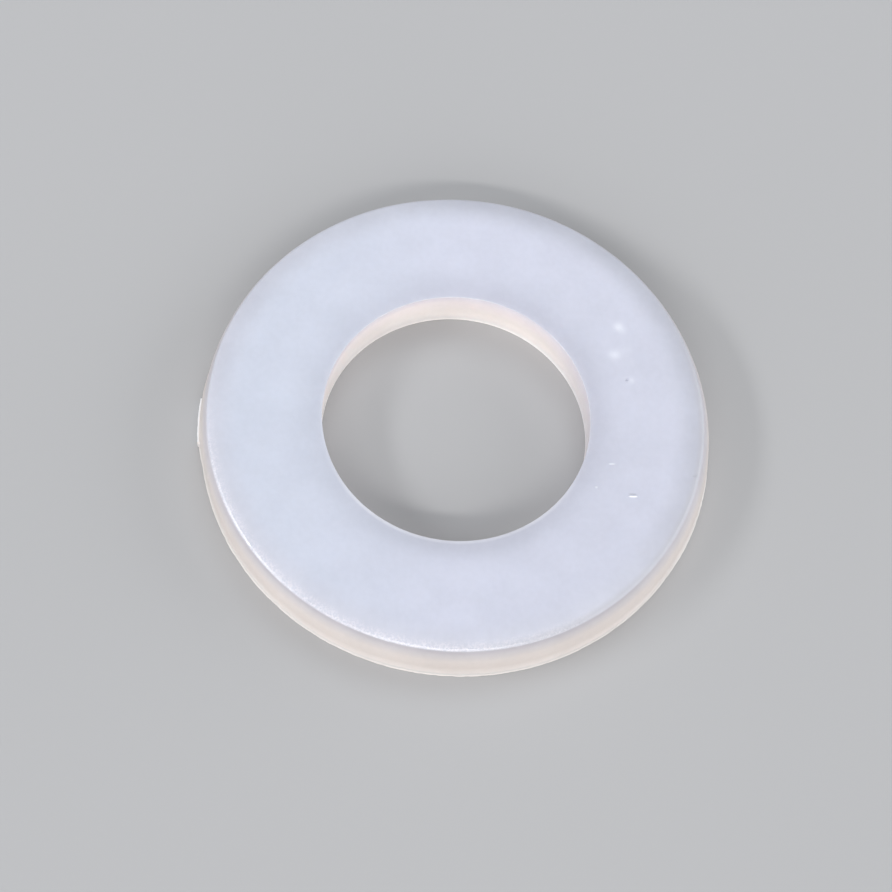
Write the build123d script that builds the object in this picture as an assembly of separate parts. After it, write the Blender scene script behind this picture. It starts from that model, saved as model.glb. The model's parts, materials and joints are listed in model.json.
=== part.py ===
from build123d import *
import os

# Flat washer for an M8 bolt, moulded in one piece in natural polyamide (nylon).
# Sizes are in millimetres. The origin is on the bore's axis, in the underside, and +Z is up.

# Driving dimensions: the standard form for M8.
OUTER_DIAMETER = 16.0
BORE_DIAMETER = 8.4
THICKNESS = 1.6

# The underside's outer edge is the mould's parting edge, and it is sharp. The wall rises straight
# from it, and its shoulder curves in to a small rounded crease. From the crease the top edge rolls
# over to the flat top face.
STRAIGHT_WALL = 0.55
SHOULDER_LEAN = 0.26
ROLL_DROP = 0.2
ROLL_WIDTH = 1.1
CREASE_EDGE_RADIUS = 0.15

# The bore's two edges are only just rounded.
BORE_EDGE_RADIUS = 0.06

# Gate mark: the thin stub left where the runner was cut off, on the -X side at the parting edge.
GATE_WIDTH = 1.6
GATE_HEIGHT = 0.25
GATE_PROUD = 0.06
GATE_ROOT = 0.5


def washer_section():
    """Half section in the XZ plane, from the bore's wall out to the outer wall."""
    bore_radius = BORE_DIAMETER / 2
    outer_radius = OUTER_DIAMETER / 2
    wall_top = (outer_radius, STRAIGHT_WALL)
    crease = (outer_radius - SHOULDER_LEAN, THICKNESS - ROLL_DROP)
    roll_start = (crease[0] - ROLL_WIDTH, THICKNESS)

    with BuildSketch(Plane.XZ) as section:
        with BuildLine():
            Polyline(roll_start, (bore_radius, THICKNESS), (bore_radius, 0), (outer_radius, 0), wall_top)
            TangentArc(wall_top, crease, tangent=(0, 1))
            TangentArc(roll_start, crease, tangent=(1, 0))
        make_face()
        fillet(section.vertices().group_by(Axis.X)[0], radius=BORE_EDGE_RADIUS)
        fillet(section.vertices().sort_by_distance(Vector(*crease))[0], radius=CREASE_EDGE_RADIUS)
    return section.sketch


def gate_mark():
    """Flat-faced stub, rooted in the outer wall and level with the underside."""
    return Box(
        GATE_PROUD + GATE_ROOT,
        GATE_WIDTH,
        GATE_HEIGHT,
        align=(Align.MIN, Align.CENTER, Align.MIN),
    ).moved(Location((-OUTER_DIAMETER / 2 - GATE_PROUD, 0, 0)))


def flat_washer():
    """The whole washer: the revolved section with its gate mark, as one solid."""
    ring = revolve(washer_section(), axis=Axis.Z)
    return ring + gate_mark()


os.makedirs("parts", exist_ok=True)
export_step(flat_washer(), "parts/flat_washer.step")
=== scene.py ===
import json
import math
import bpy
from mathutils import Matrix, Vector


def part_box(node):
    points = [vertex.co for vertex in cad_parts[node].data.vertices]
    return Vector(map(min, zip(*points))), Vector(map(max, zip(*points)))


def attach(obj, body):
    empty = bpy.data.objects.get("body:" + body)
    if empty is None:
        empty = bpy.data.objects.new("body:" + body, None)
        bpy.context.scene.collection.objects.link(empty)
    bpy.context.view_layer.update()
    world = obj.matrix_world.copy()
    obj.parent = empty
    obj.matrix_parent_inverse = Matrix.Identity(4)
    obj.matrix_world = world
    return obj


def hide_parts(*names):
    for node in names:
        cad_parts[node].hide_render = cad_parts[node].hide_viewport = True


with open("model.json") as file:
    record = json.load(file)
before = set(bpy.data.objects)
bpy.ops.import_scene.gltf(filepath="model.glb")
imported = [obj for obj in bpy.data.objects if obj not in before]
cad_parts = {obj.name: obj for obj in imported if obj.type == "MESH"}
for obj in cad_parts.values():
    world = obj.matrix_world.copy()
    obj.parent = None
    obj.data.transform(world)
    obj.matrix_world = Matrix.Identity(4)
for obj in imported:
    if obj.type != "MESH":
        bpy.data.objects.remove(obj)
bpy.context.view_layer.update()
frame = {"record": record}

from types import SimpleNamespace

import bmesh
import bpy
from mathutils import Matrix, Vector, noise

# A flat washer, moulded in one piece in natural polyamide, on a plain pale floor.
# Lengths in this script are in millimetres until a mesh is made, and MM turns them into metres.
# The washer's underside is at height 0, its bore is on the Z axis and its gate mark is close to -X.

MM = 0.001
NODE = "flat_washer"
LOW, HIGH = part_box(NODE)
MOUNTS = {mount["name"]: mount for mount in frame["record"]["mounts"]}

# ---- Sizes from the frame ----
THICKNESS = HIGH.z / MM
OUTER_RADIUS = HIGH.x / MM
BORE_RADIUS = MOUNTS["bore"]["dims"]["r_mm"]
GATE_REACH = -LOW.x / MM

# ---- Outline of the half section ----
STRAIGHT_WALL = 0.55
SHOULDER_LEAN = 0.225
ROLL_DROP = 0.18
ROLL_WIDTH = 1.1
ROLL_POWER = 2.4
BORE_ROLL_DROP = 0.08
BORE_ROLL_WIDTH = 0.8
BORE_UPPER_EDGE = 0.02
BORE_LOWER_EDGE = 0.01
BORE_FLASH_REACH = 0.018
CREASE_EDGE_RADIUS = 0.15
CREASE_FACET = 0.03
CREASE_FACET_SLOPE = 35
FLASH_REACH = 0.035
FLASH_HEIGHT = 0.05
FLASH_TIP_HEIGHT = 0.008

CREASE_RADIUS = OUTER_RADIUS - FLASH_REACH - SHOULDER_LEAN
CREASE_HEIGHT = THICKNESS - ROLL_DROP
ROLL_START = CREASE_RADIUS - ROLL_WIDTH

# ---- Gate mark: the torn stub of the runner ----
GATE_ANGLE = math.radians(180.45)
GATE_HALF_WIDTH = 0.76
GATE_HEIGHT = 0.25
GATE_EDGE = 0.03
GATE_RADIUS = GATE_REACH + 0.03
GATE_TEAR = 0.012
GATE_BULGE = 0.05
GATE_HALF_ANGLE = math.asin(GATE_HALF_WIDTH / OUTER_RADIUS)

# ---- Unevenness of the moulding ----
# PARTING_SHIFT is how far the parting edge is moved sideways from the top.
BORE_CLOSE_IN = 0.04
PARTING_SHIFT = Vector((0.062, -0.03, 0))
RIM_WANDER = 0.012
FACE_WAVES = 0.004
FACE_WAVES_PER_MM = 0.45
FLASH_DEPTH = 0.018
FLASH_MOST = 0.35
FLASH_ZONE_HEIGHT = 0.12
FLASH_ZONE_RADII = (7.0, 7.9)

# ---- Mesh spacing ----
COLUMNS = 720
FACE_STEP = 0.11
ROLL_STEP = 0.06
WALL_STEP = 0.11
UNDERSIDE_STEP = 0.35


def smooth_step(value, low, high):
    """0 below low, 1 above high, and a smooth rise between them."""
    share = min(1.0, max(0.0, (value - low) / (high - low)))
    return share * share * (3 - 2 * share)


def spread(start, end, step):
    """Evenly spaced values from start to end, both included, no further apart than step."""
    count = max(1, math.ceil(abs(end - start) / step))
    return [start + (end - start) * i / count for i in range(count + 1)]


def top_height(radius):
    """Height of the top face: flat in the middle, rolled down to the rim and a little to the bore."""
    rim_drop = ROLL_DROP * max(0.0, (radius - ROLL_START) / ROLL_WIDTH) ** ROLL_POWER
    towards_bore = max(0.0, 1 - (radius - BORE_RADIUS) / BORE_ROLL_WIDTH)
    return THICKNESS - rim_drop - BORE_ROLL_DROP * towards_bore**2


def quarter_turn(centre, radius, start_degrees, steps=4):
    """Points of a quarter circle that turns clockwise from start_degrees."""
    turns = [math.radians(start_degrees - 90 * i / steps) for i in range(steps + 1)]
    return [(centre[0] + radius * math.cos(t), centre[1] + radius * math.sin(t)) for t in turns]


def wall_radius(height):
    """Radius of the outer wall: straight at first, then a circular shoulder up to the crease."""
    rise = CREASE_HEIGHT - STRAIGHT_WALL
    shoulder_radius = (SHOULDER_LEAN**2 + rise**2) / (2 * SHOULDER_LEAN)
    up = max(0.0, height - STRAIGHT_WALL)
    flash = FLASH_REACH * (1 - smooth_step(height, FLASH_TIP_HEIGHT, FLASH_HEIGHT))
    return OUTER_RADIUS - FLASH_REACH + flash - shoulder_radius + math.sqrt(shoulder_radius**2 - up**2)


def rounded_crease(steps=8):
    """Points of the small arc between the rolled top face and the outer wall, worn flat at one slope."""
    roll_slope = math.atan(ROLL_POWER * ROLL_DROP / ROLL_WIDTH)
    wall_slope = math.pi / 2 - 2 * math.atan(SHOULDER_LEAN / (CREASE_HEIGHT - STRAIGHT_WALL))
    facet_slope = math.radians(CREASE_FACET_SLOPE)
    inset = CREASE_EDGE_RADIUS / math.cos((wall_slope - roll_slope) / 2)
    towards_corner = (wall_slope + roll_slope) / 2
    centre_radius = CREASE_RADIUS - inset * math.sin(towards_corner)
    centre_height = CREASE_HEIGHT - inset * math.cos(towards_corner)

    # The arc is cut at the facet's slope, and its two parts are moved apart by the facet's length.
    points = []
    for share, start, end in ((-0.7, roll_slope, facet_slope), (0.3, facet_slope, wall_slope)):
        aside = share * CREASE_FACET
        for slope in spread(start, end, (wall_slope - roll_slope) / steps):
            radius = centre_radius + CREASE_EDGE_RADIUS * math.sin(slope) + aside * math.cos(facet_slope)
            height = centre_height + CREASE_EDGE_RADIUS * math.cos(slope) - aside * math.sin(facet_slope)
            points.append((radius, height))
    return points


def section():
    """Closed half section as (region, radius, height), clockwise from the bore's lower edge."""
    bore_radius = BORE_RADIUS - BORE_CLOSE_IN
    face_start = bore_radius + BORE_FLASH_REACH + BORE_UPPER_EDGE
    bore_top = top_height(face_start) - BORE_UPPER_EDGE
    lower_edge = quarter_turn((bore_radius + BORE_LOWER_EDGE, BORE_LOWER_EDGE), BORE_LOWER_EDGE, 270)
    upper_edge = quarter_turn((face_start, bore_top), BORE_UPPER_EDGE, 180)
    bore_heights = spread(BORE_LOWER_EDGE, FLASH_HEIGHT, 0.01)[1:]
    bore_heights += spread(FLASH_HEIGHT, bore_top, WALL_STEP)[1:-1]
    bore_wall = [
        (bore_radius + BORE_FLASH_REACH * smooth_step(z, BORE_LOWER_EDGE, FLASH_HEIGHT), z)
        for z in bore_heights
    ]

    crease = rounded_crease()
    face_radii = spread(face_start, ROLL_START, FACE_STEP)[1:-1]
    roll_radii = spread(ROLL_START, crease[0][0], ROLL_STEP)[:-1]
    top_face = [(r, top_height(r)) for r in face_radii + roll_radii]

    heights = spread(crease[-1][1], FLASH_HEIGHT, WALL_STEP)[1:] + [GATE_HEIGHT, GATE_HEIGHT + GATE_EDGE]
    heights += spread(FLASH_HEIGHT, FLASH_TIP_HEIGHT, 0.01)[1:]
    wall = [(wall_radius(z), z) for z in sorted(heights, reverse=True)]

    underside_end = bore_radius + BORE_LOWER_EDGE
    underside_radii = spread(OUTER_RADIUS - FLASH_TIP_HEIGHT, underside_end, UNDERSIDE_STEP)[:-1]
    underside = [(r, 0.0) for r in underside_radii]

    regions = {
        "bore": lower_edge + bore_wall + upper_edge,
        "top": top_face + crease,
        "wall": wall,
        "underside": underside,
    }
    return [(region, r, z) for region, points in regions.items() for r, z in points]


def column_angles():
    """Angles of the mesh's columns, with a close pair at each side of the gate mark."""
    edge_angle = GATE_EDGE / OUTER_RADIUS
    step = 2 * math.pi / COLUMNS
    gate_edges = []
    for side in (-1, 1):
        gate_edges.append(GATE_ANGLE + side * GATE_HALF_ANGLE)
        gate_edges.append(GATE_ANGLE + side * (GATE_HALF_ANGLE + edge_angle))
    even = [i * step for i in range(COLUMNS)]
    clear = [a for a in even if min(abs(a - e) for e in gate_edges) > step / 3]
    return sorted(clear + gate_edges)


def in_gate(angle, height):
    """Whether a point of the outer wall belongs to the gate's stub."""
    return abs(angle - GATE_ANGLE) < GATE_HALF_ANGLE + 1e-6 and height < GATE_HEIGHT + 1e-6


def polar_point(radius, angle, height=0.0):
    """The point at a distance from the washer's axis, an angle round it and a height."""
    return Vector((radius * math.cos(angle), radius * math.sin(angle), height))


def around(angle, turns, seed):
    """Smooth noise that closes on itself once round the washer, with about `turns` waves."""
    return noise.noise(polar_point(turns / (2 * math.pi), angle, seed))


def face_unevenness(radius, angle, outwards):
    """How far the top face stands above its outline: slow waves, and finer ones towards the rim."""
    slow = noise.noise(polar_point(radius, angle) * FACE_WAVES_PER_MM)
    fine = 0.5 * outwards * around(angle, turns=60, seed=9.7)
    return FACE_WAVES * (slow + fine)


def flash_unevenness(radius, height, angle):
    """How far the ragged flash reaches out at the parting edge, or is broken back when negative."""
    near_parting = smooth_step(-height, -FLASH_ZONE_HEIGHT, 0) * smooth_step(radius, *FLASH_ZONE_RADII)
    ragged = 0.6 * around(angle, turns=90, seed=5.3) + 0.6 * around(angle, turns=330, seed=6.1)
    return FLASH_DEPTH * near_parting * min(FLASH_MOST, ragged)


def gate_bulge(height, angle):
    """How far the wall swells out above and beside the gate."""
    beside_gate = smooth_step(-abs(angle - GATE_ANGLE), -0.2, -0.1)
    return GATE_BULGE * beside_gate * smooth_step(-height, -1.1, -0.4)


def torn_gate_radius(height, angle):
    """Radius of the gate's torn face."""
    return GATE_RADIUS + GATE_TEAR * noise.noise(Vector((angle * 50, height * 7, 2.2)))


def place(region, radius, height, angle):
    """Where a point of the section goes at an angle, with the moulding's unevenness."""
    outwards = smooth_step(radius, ROLL_START, OUTER_RADIUS)
    radius += RIM_WANDER * outwards * around(angle, turns=14, seed=3.1)
    if region == "top":
        return polar_point(radius, angle, height + face_unevenness(radius, angle, outwards))
    if region == "bore":
        return polar_point(radius, angle, height)

    radius += flash_unevenness(radius, height, angle)
    if region == "wall":
        radius += gate_bulge(height, angle)
    if radius > CREASE_RADIUS and in_gate(angle, height):
        radius = torn_gate_radius(height, angle)
    moved = outwards * (1 - min(1.0, height / CREASE_HEIGHT))
    return polar_point(radius, angle, height) + PARTING_SHIFT * moved


def lathe(name):
    """The washer's body: the section placed at every column and joined round."""
    angles = column_angles()
    outline = section()
    rings = len(outline)
    points = [place(region, r, z, a) * MM for a in angles for region, r, z in outline]
    faces = []
    for column in range(len(angles)):
        here = column * rings
        there = (column + 1) % len(angles) * rings
        for ring in range(rings):
            after = (ring + 1) % rings
            faces.append((here + ring, here + after, there + after, there + ring))
    mesh = bpy.data.meshes.new(name)
    mesh.from_pydata(points, [], faces)
    mesh.validate()
    return mesh


# ---- Small marks on the top face ----
# Each has its middle, the direction it lies in, how far it stands up (a groove or pit is negative),
# and its tint, which is milky above 0 and dark below it; on a few marks the tint is a painted glint
# or a painted shadow. A cloud is a tint alone, as of something milky under the surface.
TOP_ZONE = 0.9 * THICKNESS
GATE_TINT = 0.85
MARK_MARGIN = 0.06

MARKS = (
    # Raised sliver; its pale tint is a painted glint.
    {"at": (5.55, -2.37), "along": 2, "length": 0.27, "width": 0.05, "rise": 0.026, "tint": 0.9},
    # Painted shadow of the sliver.
    {"at": (5.53, -2.29), "along": 2, "length": 0.24, "width": 0.05, "rise": -0.006, "tint": -0.7},
    # This mark and the next are small bumps; their pale tint is a painted glint.
    {"at": (4.86, -1.31), "along": 5, "length": 0.20, "width": 0.06, "rise": 0.014, "tint": 0.5},
    {"at": (4.40, -2.13), "along": 0, "length": 0.10, "width": 0.09, "rise": 0.016, "tint": 0.4},
    {"at": (5.27, 1.62), "along": 0, "length": 0.08, "width": 0.08, "rise": -0.030, "tint": -0.5},
    {"at": (7.46, -1.48), "along": 15, "length": 0.16, "width": 0.07, "rise": -0.012, "tint": -0.5},
)
CLOUDS = (
    {"at": (4.97, 3.46), "size": 0.19, "tint": 0.36},
    {"at": (5.14, 3.31), "size": 0.17, "tint": 0.16},
    {"at": (4.92, 2.46), "size": 0.20, "tint": 0.30},
    {"at": (4.74, 2.47), "size": 0.16, "tint": 0.14},
    {"at": (5.27, 2.66), "size": 0.20, "tint": 0.14},
    {"at": (5.42, 2.22), "size": 0.20, "tint": 0.11},
    {"at": (5.43, 1.60), "size": 0.13, "tint": 0.30},
)


def mark_share(mark, x, y):
    """How much of a mark's rise a point has: 1 at its middle, falling smoothly to 0 outside."""
    turn = math.radians(mark["along"])
    dx = x - mark["at"][0]
    dy = y - mark["at"][1]
    along = dx * math.cos(turn) + dy * math.sin(turn)
    across = dy * math.cos(turn) - dx * math.sin(turn)
    return math.exp(-((2 * along / mark["length"]) ** 4) - (2 * across / mark["width"]) ** 2)


def refine_round_marks(mesh):
    """Divides the top face finely round each mark, and then raises or sinks the marks."""
    bm = bmesh.new()
    bm.from_mesh(mesh)
    top = TOP_ZONE * MM
    for mark in MARKS:
        centre = Vector(mark["at"]) * MM
        reach = (mark["length"] + MARK_MARGIN) * MM
        for _ in range(2):
            near = set()
            for face in bm.faces:
                middle = face.calc_center_median()
                if middle.z > top and (middle.xy - centre).length < reach:
                    near.update(face.edges)
            bmesh.ops.subdivide_edges(bm, edges=list(near), cuts=1, use_grid_fill=True)
    for vert in bm.verts:
        if vert.co.z > top:
            x, y = vert.co.x / MM, vert.co.y / MM
            vert.co.z += MM * sum(m["rise"] * mark_share(m, x, y) for m in MARKS)
    bmesh.ops.triangulate(bm, faces=[f for f in bm.faces if len(f.verts) > 4])
    bm.normal_update()
    bm.to_mesh(mesh)
    bm.free()


def paint_marks(mesh):
    """Stores how milky or dark each point is: the torn gate, the marks, some with a painted glint or shadow,
    and the clouds.
    """
    tint = mesh.attributes.new("tint", "FLOAT", "POINT")
    for vert in mesh.vertices:
        x, y, z = vert.co / MM
        value = 0.0
        if math.hypot(x, y) > OUTER_RADIUS and in_gate(math.atan2(y, x) % (2 * math.pi), z):
            value = GATE_TINT
        if z > TOP_ZONE:
            value = sum(m["tint"] * mark_share(m, x, y) for m in MARKS)
            for cloud in CLOUDS:
                away = math.hypot(x - cloud["at"][0], y - cloud["at"][1]) / cloud["size"]
                value += cloud["tint"] * math.exp(-away * away)
        tint.data[vert.index].value = value


def crease_edges(mesh, degrees=38):
    """Smooth shading, broken at edges that turn sharply."""
    bm = bmesh.new()
    bm.from_mesh(mesh)
    for face in bm.faces:
        face.smooth = True
    for edge in bm.edges:
        edge.smooth = edge.calc_face_angle(0) < math.radians(degrees)
    bm.to_mesh(mesh)
    bm.free()


# ---- Materials ----


class Nodes:
    """Short calls for building a material's node tree."""

    def __init__(self, name):
        self.material = bpy.data.materials.new(name)
        self.material.use_nodes = True
        self.tree = self.material.node_tree
        self.shader = self.tree.nodes["Principled BSDF"]

    def add(self, kind, settings=(), **inputs):
        """A node with its settings, and its inputs by name, each a value or another node's output."""
        node = self.tree.nodes.new(kind)
        for key, value in dict(settings).items():
            setattr(node, key, value)
        for key, value in inputs.items():
            self.set(node, key, value)
        return node

    def set(self, node, key, value):
        """Sets or links an input, given as i and its number, or as its name with _ for spaces."""
        name = key.replace("_", " ")
        socket = node.inputs[int(key[1:])] if key[0] == "i" and key[1:].isdigit() else node.inputs[name]
        if isinstance(value, bpy.types.NodeSocket):
            self.tree.links.new(value, socket)
        else:
            socket.default_value = value

    def math(self, operation, first, second):
        node = self.add("ShaderNodeMath", {"operation": operation}, i0=first, i1=second)
        return node.outputs[0]

    def product(self, *values):
        """All the values multiplied together."""
        result = values[0]
        for value in values[1:]:
            result = self.math("MULTIPLY", result, value)
        return result

    def rise(self, value, low, high, to_low=0.0, to_high=1.0):
        """A smooth change from to_low to to_high as value goes from low to high."""
        node = self.add(
            "ShaderNodeMapRange",
            {"interpolation_type": "SMOOTHSTEP"},
            i0=value,
            i1=low,
            i2=high,
            i3=to_low,
            i4=to_high,
        )
        return node.outputs[0]

    def mix(self, share, first, second, blend="MIX"):
        """A colour between first and second, each an output or an (r, g, b) colour."""
        node = self.add("ShaderNodeMix", {"data_type": "RGBA", "blend_type": blend}, i0=share)
        for key, colour in (("i6", first), ("i7", second)):
            self.set(node, key, (*colour, 1) if isinstance(colour, tuple) else colour)
        return node.outputs[2]

    def shaded(self, colour, value):
        """The colour multiplied by value."""
        grey = self.add("ShaderNodeCombineColor", i0=value, i1=value, i2=value)
        return self.mix(1.0, colour, grey.outputs[0], "MULTIPLY")

    def towards(self, point, side, low, high, to_high=1.0):
        """0 to to_high as a point goes from low to high along the direction side."""
        along = self.add("ShaderNodeVectorMath", {"operation": "DOT_PRODUCT"}, i0=point, i1=side)
        return self.rise(along.outputs["Value"], low, high, 0.0, to_high)

    def ramp(self, value, stops):
        """Colours along value, from (position, colour) stops."""
        node = self.add("ShaderNodeValToRGB", i0=value)
        elements = node.color_ramp.elements
        while len(elements) < len(stops):
            elements.new(0.5)
        for element, (position, colour) in zip(elements, stops):
            element.position = position
            element.color = (*colour, 1)
        return node.outputs[0]

    def noise(self, vector, scale, detail=2.0, roughness=0.5):
        node = self.add("ShaderNodeTexNoise", Vector=vector, Scale=scale, Detail=detail, Roughness=roughness)
        return node.outputs[0]


# The faces from -X to +X, and their rim.
FACE_COLOURS = (
    (0.00, (0.532, 0.562, 0.645)),
    (0.50, (0.546, 0.560, 0.650)),
    (0.95, (0.530, 0.541, 0.625)),
)
RIM_COLOUR = (0.543, 0.555, 0.622)
# Painted shade on the far right rim.
FAR_RIM_SHADE = (0.470, 0.480, 0.540)
# Painted highlight on the bore's edge in front.
BORE_EDGE_HIGHLIGHT_COLOUR = (0.72, 0.72, 0.77)
# Painted shade on the crease at the near right.
CREASE_SHADE_COLOUR = (0.43, 0.43, 0.455)
# Pale scuffing, and a painted highlight where the crease catches the light.
SCUFF_AND_HIGHLIGHT_COLOUR = (0.80, 0.76, 0.79)
# Milky tint, also used as a painted glint on some marks.
MILK_AND_GLINT_COLOUR = (0.95, 0.97, 1.0)
# Dark tint of marks, also used as a painted shadow.
DARK_MARK_AND_SHADOW_COLOUR = (0.35, 0.36, 0.40)

# The walls from the underside to the top. Their warm tone is partly the nylon's own and partly painted glow
# of light passing through it.
# Bore wall: painted glow, palest at the underside, and painted shade darkening to its top edge.
BORE_WALL_COLOURS = (
    (0.00, (0.99, 0.94, 0.91)),
    (0.15, (0.93, 0.84, 0.80)),
    (0.40, (0.80, 0.74, 0.705)),
    (0.70, (0.76, 0.70, 0.71)),
    (0.86, (0.72, 0.68, 0.72)),
    (0.97, (0.56, 0.54, 0.60)),
)
# Painted shade and painted light for the two sides of the bore wall.
SHADED_BORE_COLOUR = (0.62, 0.60, 0.66)
LIT_BORE_COLOUR = (0.97, 0.90, 0.87)
# Outer wall: painted glow, palest just above the flash, and painted shade darkening up to the crease.
OUTER_WALL_COLOURS = (
    (0.00, (0.70, 0.66, 0.63)),
    (0.05, (0.78, 0.73, 0.70)),
    (0.12, (0.85, 0.77, 0.73)),
    (0.35, (0.68, 0.615, 0.578)),
    (0.60, (0.637, 0.587, 0.563)),
    (0.75, (0.545, 0.52, 0.53)),
    (0.87, (0.43, 0.415, 0.45)),
)
# Painted light for the upper outer wall away from the front.
LIT_WALL_COLOUR = (0.62, 0.60, 0.64)

# How much of each painted light or shade shows where it is strongest.
SHADED_BORE_SHARE = 0.5
LIT_BORE_SHARE = 0.5
LIT_WALL_SHARE = 0.35
BORE_EDGE_HIGHLIGHT_SHARE = 0.3
CREASE_SHADE_SHARE = 0.5
NEAR_BORE_SHADE_SHARE = 0.06
BORE_SHADE = 0.80

# Directions out from the washer's axis, in degrees counterclockwise from +X.
SCUFFED_SIDE = polar_point(1.0, math.radians(245))
FAR_SIDE = polar_point(1.0, math.radians(30))
CREASE_SHADE_SIDE = polar_point(1.0, math.radians(335))

# Bands inside the crease: how wide each is, and how far before the crease it is at its full strength.
SCUFFED_BAND = (0.38, 0.04)
CREASE_SHADE_BAND = (0.25, 0.05)
POLISHED_BAND = (0.12, 0.02)

CLOUDS_PER_MM = 0.7
FLECKS_PER_MM = 5.0
GRAIN_PER_MM = 16.0
GRAIN_DEPTH = 0.03
NYLON_IOR = 1.53
SCATTER_REACH = 0.8
SCATTER_BY_COLOUR = (1.0, 0.9, 0.85)


def measure(n):
    """Outputs that say where a point is and how much it belongs to the faces."""
    place_of = n.add("ShaderNodeTexCoord").outputs
    scaled = n.add("ShaderNodeVectorMath", {"operation": "SCALE"}, i0=place_of["Object"], Scale=1 / MM)
    point = scaled.outputs[0]
    x, y, z = n.add("ShaderNodeSeparateXYZ", i0=point).outputs
    flat = n.add("ShaderNodeCombineXYZ", i0=x, i1=y)
    radius = n.add("ShaderNodeVectorMath", {"operation": "LENGTH"}, i0=flat.outputs[0]).outputs["Value"]
    height = n.math("DIVIDE", z, THICKNESS)
    facing = n.add("ShaderNodeSeparateXYZ", i0=place_of["Normal"]).outputs[2]
    top = n.product(n.rise(facing, 0.55, 0.88), n.rise(height, 0.3, 0.5))
    faces = n.math("ADD", top, n.rise(facing, -0.55, -0.88))
    return SimpleNamespace(point=point, x=x, y=y, radius=radius, height=height, top=top, faces=faces)


def bore_wall_colour(n, at):
    """Cream, with painted light on the gate's side below its top edge and painted shade on the other side."""
    # Painted shade on the +X side, painted light on the -X side.
    shaded_bore_side = n.rise(at.x, 0.6 * BORE_RADIUS, BORE_RADIUS, 0.0, SHADED_BORE_SHARE)
    lit_bore_side = n.rise(at.x, -0.6 * BORE_RADIUS, 0.5 * BORE_RADIUS, LIT_BORE_SHARE, 0.0)
    below_edge = n.rise(at.height, 0.7, 0.9, 1.0, 0.0)
    colour = n.mix(shaded_bore_side, n.ramp(at.height, BORE_WALL_COLOURS), SHADED_BORE_COLOUR)
    return n.mix(n.product(lit_bore_side, below_edge), colour, LIT_BORE_COLOUR)


def outer_wall_colour(n, at):
    """Warm, with painted shade making it darker and greyer under the crease, most so in front, and painted
    light on its upper part elsewhere.
    """
    # Painted light on the upper wall, fading out towards the front.
    lit_wall_side = n.rise(at.y, -0.8 * OUTER_RADIUS, -0.1 * OUTER_RADIUS, 0.0, LIT_WALL_SHARE)
    under_crease = n.rise(at.height, 0.6, 0.85)
    colour = n.ramp(at.height, OUTER_WALL_COLOURS)
    return n.mix(n.product(lit_wall_side, under_crease), colour, LIT_WALL_COLOUR)


def face_colour(n, at):
    """Cool, with painted shade round the bore and at the far rim, and a painted highlight on the edge in
    front of the bore.
    """
    # Painted shade on the rim towards the far right.
    rim = n.mix(n.towards(at.point, FAR_SIDE, 1.0, 5.0), RIM_COLOUR, FAR_RIM_SHADE)
    colour = n.ramp(n.rise(at.x, -OUTER_RADIUS, OUTER_RADIUS), FACE_COLOURS)
    colour = n.mix(n.rise(at.radius, ROLL_START, CREASE_RADIUS), colour, rim)

    # Painted shade round the bore.
    shade = n.rise(at.radius, BORE_RADIUS - 0.8, BORE_RADIUS + 1.4, BORE_SHADE, 1.0)
    # Deeper painted shade in a ring on the near side of the bore.
    near_shade_side = n.rise(at.y, -1.1 * BORE_RADIUS, -0.6 * BORE_RADIUS, 1.0, 0.0)
    near_shade_ring = n.rise(at.radius, BORE_RADIUS + 0.2, BORE_RADIUS + 0.8, NEAR_BORE_SHADE_SHARE, 0.0)
    colour = n.shaded(colour, n.math("SUBTRACT", shade, n.product(near_shade_side, near_shade_ring)))

    # Painted highlight along the bore's edge in front.
    highlight_side = n.rise(at.y, -0.8 * BORE_RADIUS, -0.3 * BORE_RADIUS, 1.0, 0.0)
    highlight_ring = n.rise(at.radius, BORE_RADIUS + 0.03, BORE_RADIUS + 0.13, BORE_EDGE_HIGHLIGHT_SHARE, 0.0)
    return n.mix(n.product(highlight_side, highlight_ring), colour, BORE_EDGE_HIGHLIGHT_COLOUR)


def body_colour(n, at, clouds, flecks):
    """The walls and faces, made slightly uneven."""
    is_outer = n.rise(at.radius, 5.5, 6.5)
    walls = n.mix(is_outer, bore_wall_colour(n, at), outer_wall_colour(n, at))
    colour = n.mix(at.faces, walls, face_colour(n, at))
    cloudy = n.rise(clouds, 0.3, 0.7, 0.975, 1.02)
    flecked = n.rise(flecks, 0.3, 0.7, -0.012, 0.012)
    return n.shaded(colour, n.math("ADD", cloudy, flecked))


def marked(n, colour):
    """The colour with the tint that is stored on the mesh: milky above 0, dark below it, and on some marks a
    painted glint or painted shadow.
    """
    tint = n.add("ShaderNodeAttribute", {"attribute_name": "tint"}).outputs["Fac"]
    colour = n.mix(n.rise(tint, 0.0, 1.0), colour, MILK_AND_GLINT_COLOUR)
    return n.mix(n.rise(tint, 0.0, -1.0), colour, DARK_MARK_AND_SHADOW_COLOUR)


def at_crease(n, at, band):
    """0 to 1 across a band of the top face, just inside the crease."""
    width, gap = band
    return n.product(n.rise(at.radius, CREASE_RADIUS - width, CREASE_RADIUS - gap), at.top)


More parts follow.
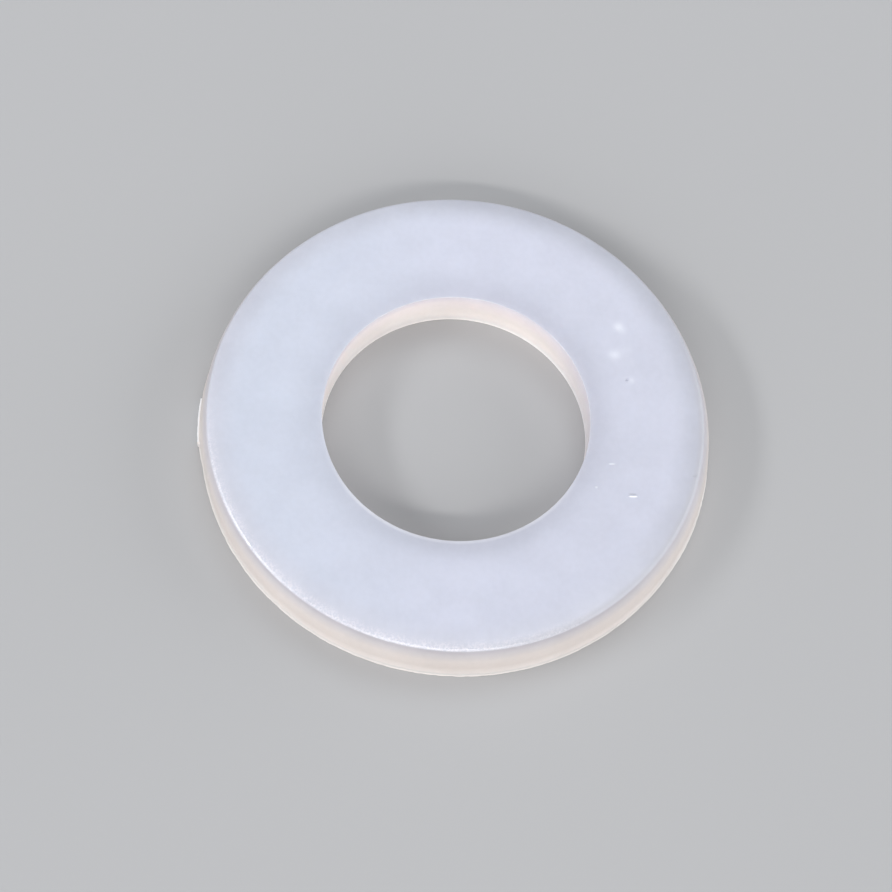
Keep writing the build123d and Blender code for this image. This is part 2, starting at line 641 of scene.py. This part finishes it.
def nylon():
    """Milky natural polyamide: cool on the faces, warm on the walls, cloudy inside, scuffed at the crease;
    its colours carry painted glow, shade and highlights.
    """
    n = Nodes("natural_nylon")
    at = measure(n)
    clouds = n.noise(at.point, CLOUDS_PER_MM, detail=3.0)
    flecks = n.noise(at.point, FLECKS_PER_MM)
    grain = n.noise(at.point, GRAIN_PER_MM, roughness=0.6)

    scuffed_side = n.towards(at.point, SCUFFED_SIDE, 2.5, 6.0)
    patches = n.rise(flecks, 0.35, 0.65, 0.6, 1.0)
    scuffed = n.product(at_crease(n, at, SCUFFED_BAND), scuffed_side, patches)
    # Pale specks on the scuffed band, partly wear and partly a painted highlight.
    scuff_and_highlight_specks = n.product(scuffed, n.rise(grain, 0.42, 0.62, 0.05, 0.5))
    polished = n.product(at_crease(n, at, POLISHED_BAND), scuffed_side)
    # Painted shade on the crease at the near right.
    crease_shade_side = n.towards(at.point, CREASE_SHADE_SIDE, 2.5, 6.5, CREASE_SHADE_SHARE)
    soft = n.product(at_crease(n, at, CREASE_SHADE_BAND), crease_shade_side)

    colour = marked(n, body_colour(n, at, clouds, flecks))
    colour = n.mix(scuff_and_highlight_specks, colour, SCUFF_AND_HIGHLIGHT_COLOUR)
    colour = n.mix(soft, colour, CREASE_SHADE_COLOUR)
    satin = n.rise(grain, 0.3, 0.7, 0.38, 0.48)
    roughness = n.math("SUBTRACT", satin, n.product(polished, 0.26))
    bump_strength = n.rise(scuffed, 0.0, 1.0, 0.06, 0.4)
    bump = n.add("ShaderNodeBump", Strength=bump_strength, Distance=GRAIN_DEPTH * MM, Height=grain)

    n.set(n.shader, "Base_Color", colour)
    n.set(n.shader, "Roughness", roughness)
    n.set(n.shader, "Normal", bump.outputs[0])
    n.set(n.shader, "IOR", NYLON_IOR)
    n.set(n.shader, "Subsurface_Weight", n.rise(at.height, 0.0, 0.09, 0.1, 0.6))
    n.set(n.shader, "Subsurface_Radius", SCATTER_BY_COLOUR)
    n.set(n.shader, "Subsurface_Scale", SCATTER_REACH * MM)
    return n.material


def floor_paint():
    """Plain pale grey, matt."""
    n = Nodes("pale_floor")
    grain = n.noise(n.add("ShaderNodeTexCoord").outputs["Object"], 30.0, 1.0)
    colour = n.ramp(grain, ((0.3, (0.40, 0.40, 0.405)), (0.7, (0.41, 0.41, 0.415))))
    n.set(n.shader, "Base_Color", colour)
    n.set(n.shader, "Roughness", 0.75)
    return n.material


# ---- The pieces ----


def make_washer():
    mesh = lathe("washer")
    refine_round_marks(mesh)
    paint_marks(mesh)
    crease_edges(mesh)
    mesh.materials.append(nylon())
    washer = bpy.data.objects.new("washer", mesh)
    bpy.context.scene.collection.objects.link(washer)
    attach(washer, "root")
    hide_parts(NODE)
    return washer


def make_floor(half_side=400.0, gap=0.01):
    """A square floor just under the washer."""
    corners = ((-1, -1), (1, -1), (1, 1), (-1, 1))
    points = [Vector((x * half_side, y * half_side, -gap)) * MM for x, y in corners]
    mesh = bpy.data.meshes.new("floor")
    mesh.from_pydata(points, [], [(0, 1, 2, 3)])
    mesh.materials.append(floor_paint())
    floor = bpy.data.objects.new("floor", mesh)
    bpy.context.scene.collection.objects.link(floor)
    return floor


# ---- Camera and light ----

CAMERA_DISTANCE = 103.9
CAMERA_ELEVATION = 65.11
CAMERA_BEARING = 5.06
CAMERA_ROLL = 8.17
CAMERA_TARGET = (-0.224, -0.311, 0.0)
CAMERA_LENS = 133.4

TENT_COLOUR = (0.93, 0.96, 1.0)
TENT_STRENGTH = 0.38
SIDE_WHITE = (0.97, 0.98, 1.0)
# Each light's name, bearing, elevation, distance, width, height, power and colour.
LIGHTS = (
    ("window", 0, 26, 700, 1400, 500, 2.5, (1.0, 0.99, 0.98)),
    ("key", 3, 44.5, 700, 640, 60, 1.6, (1.0, 0.98, 0.96)),
    ("left", 80, 34, 350, 230, 55, 0.42, SIDE_WHITE),
    ("left_wash", 75, 22, 350, 400, 300, 0.15, SIDE_WHITE),
    ("right_wash", -100, 16, 350, 400, 260, 0.68, SIDE_WHITE),
    ("fill", 190, 58, 220, 130, 130, 0.13, TENT_COLOUR),
)


def from_bearing(bearing, elevation, distance):
    """A place seen from the origin: bearing 0 is towards -Y, and it grows towards -X."""
    turn = math.radians(bearing)
    lift = math.radians(elevation)
    along_floor = Vector((-math.sin(turn), -math.cos(turn), 0)) * math.cos(lift)
    return (along_floor + Vector((0, 0, math.sin(lift)))) * distance


def looking(eye, target, roll=0.0):
    """World matrix of a camera or light at eye that faces target."""
    back = (eye - target).normalized()
    right = Vector((0, 0, 1)).cross(back).normalized()
    up = back.cross(right)
    turned = Matrix((right, up, back)).transposed() @ Matrix.Rotation(math.radians(roll), 3, "Z")
    return Matrix.Translation(eye) @ turned.to_4x4()


def make_camera():
    data = bpy.data.cameras.new("camera")
    data.sensor_width = 36
    data.lens = CAMERA_LENS
    data.clip_start = 1 * MM
    camera = bpy.data.objects.new("camera", data)
    target = Vector(CAMERA_TARGET) * MM
    eye = target + from_bearing(CAMERA_BEARING, CAMERA_ELEVATION, CAMERA_DISTANCE * MM)
    camera.matrix_world = looking(eye, target, CAMERA_ROLL)
    bpy.context.scene.collection.objects.link(camera)
    bpy.context.scene.camera = camera


def make_light(name, bearing, elevation, distance, width, height, power, colour):
    data = bpy.data.lights.new(name, "AREA")
    data.shape = "ELLIPSE"
    data.size = width * MM
    data.size_y = height * MM
    data.energy = power
    data.color = colour
    light = bpy.data.objects.new(name, data)
    light.matrix_world = looking(from_bearing(bearing, elevation, distance * MM), Vector())
    bpy.context.scene.collection.objects.link(light)


def make_light_tent():
    """An even pale surround and the soft lights in it."""
    world = bpy.data.worlds.new("tent")
    world.use_nodes = True
    background = world.node_tree.nodes["Background"]
    background.inputs["Color"].default_value = (*TENT_COLOUR, 1)
    background.inputs["Strength"].default_value = TENT_STRENGTH
    bpy.context.scene.world = world
    bpy.context.scene.view_settings.view_transform = "Standard"
    for light in LIGHTS:
        make_light(*light)


make_camera()
make_light_tent()
make_floor()
make_washer()

bpy.context.view_layer.update()
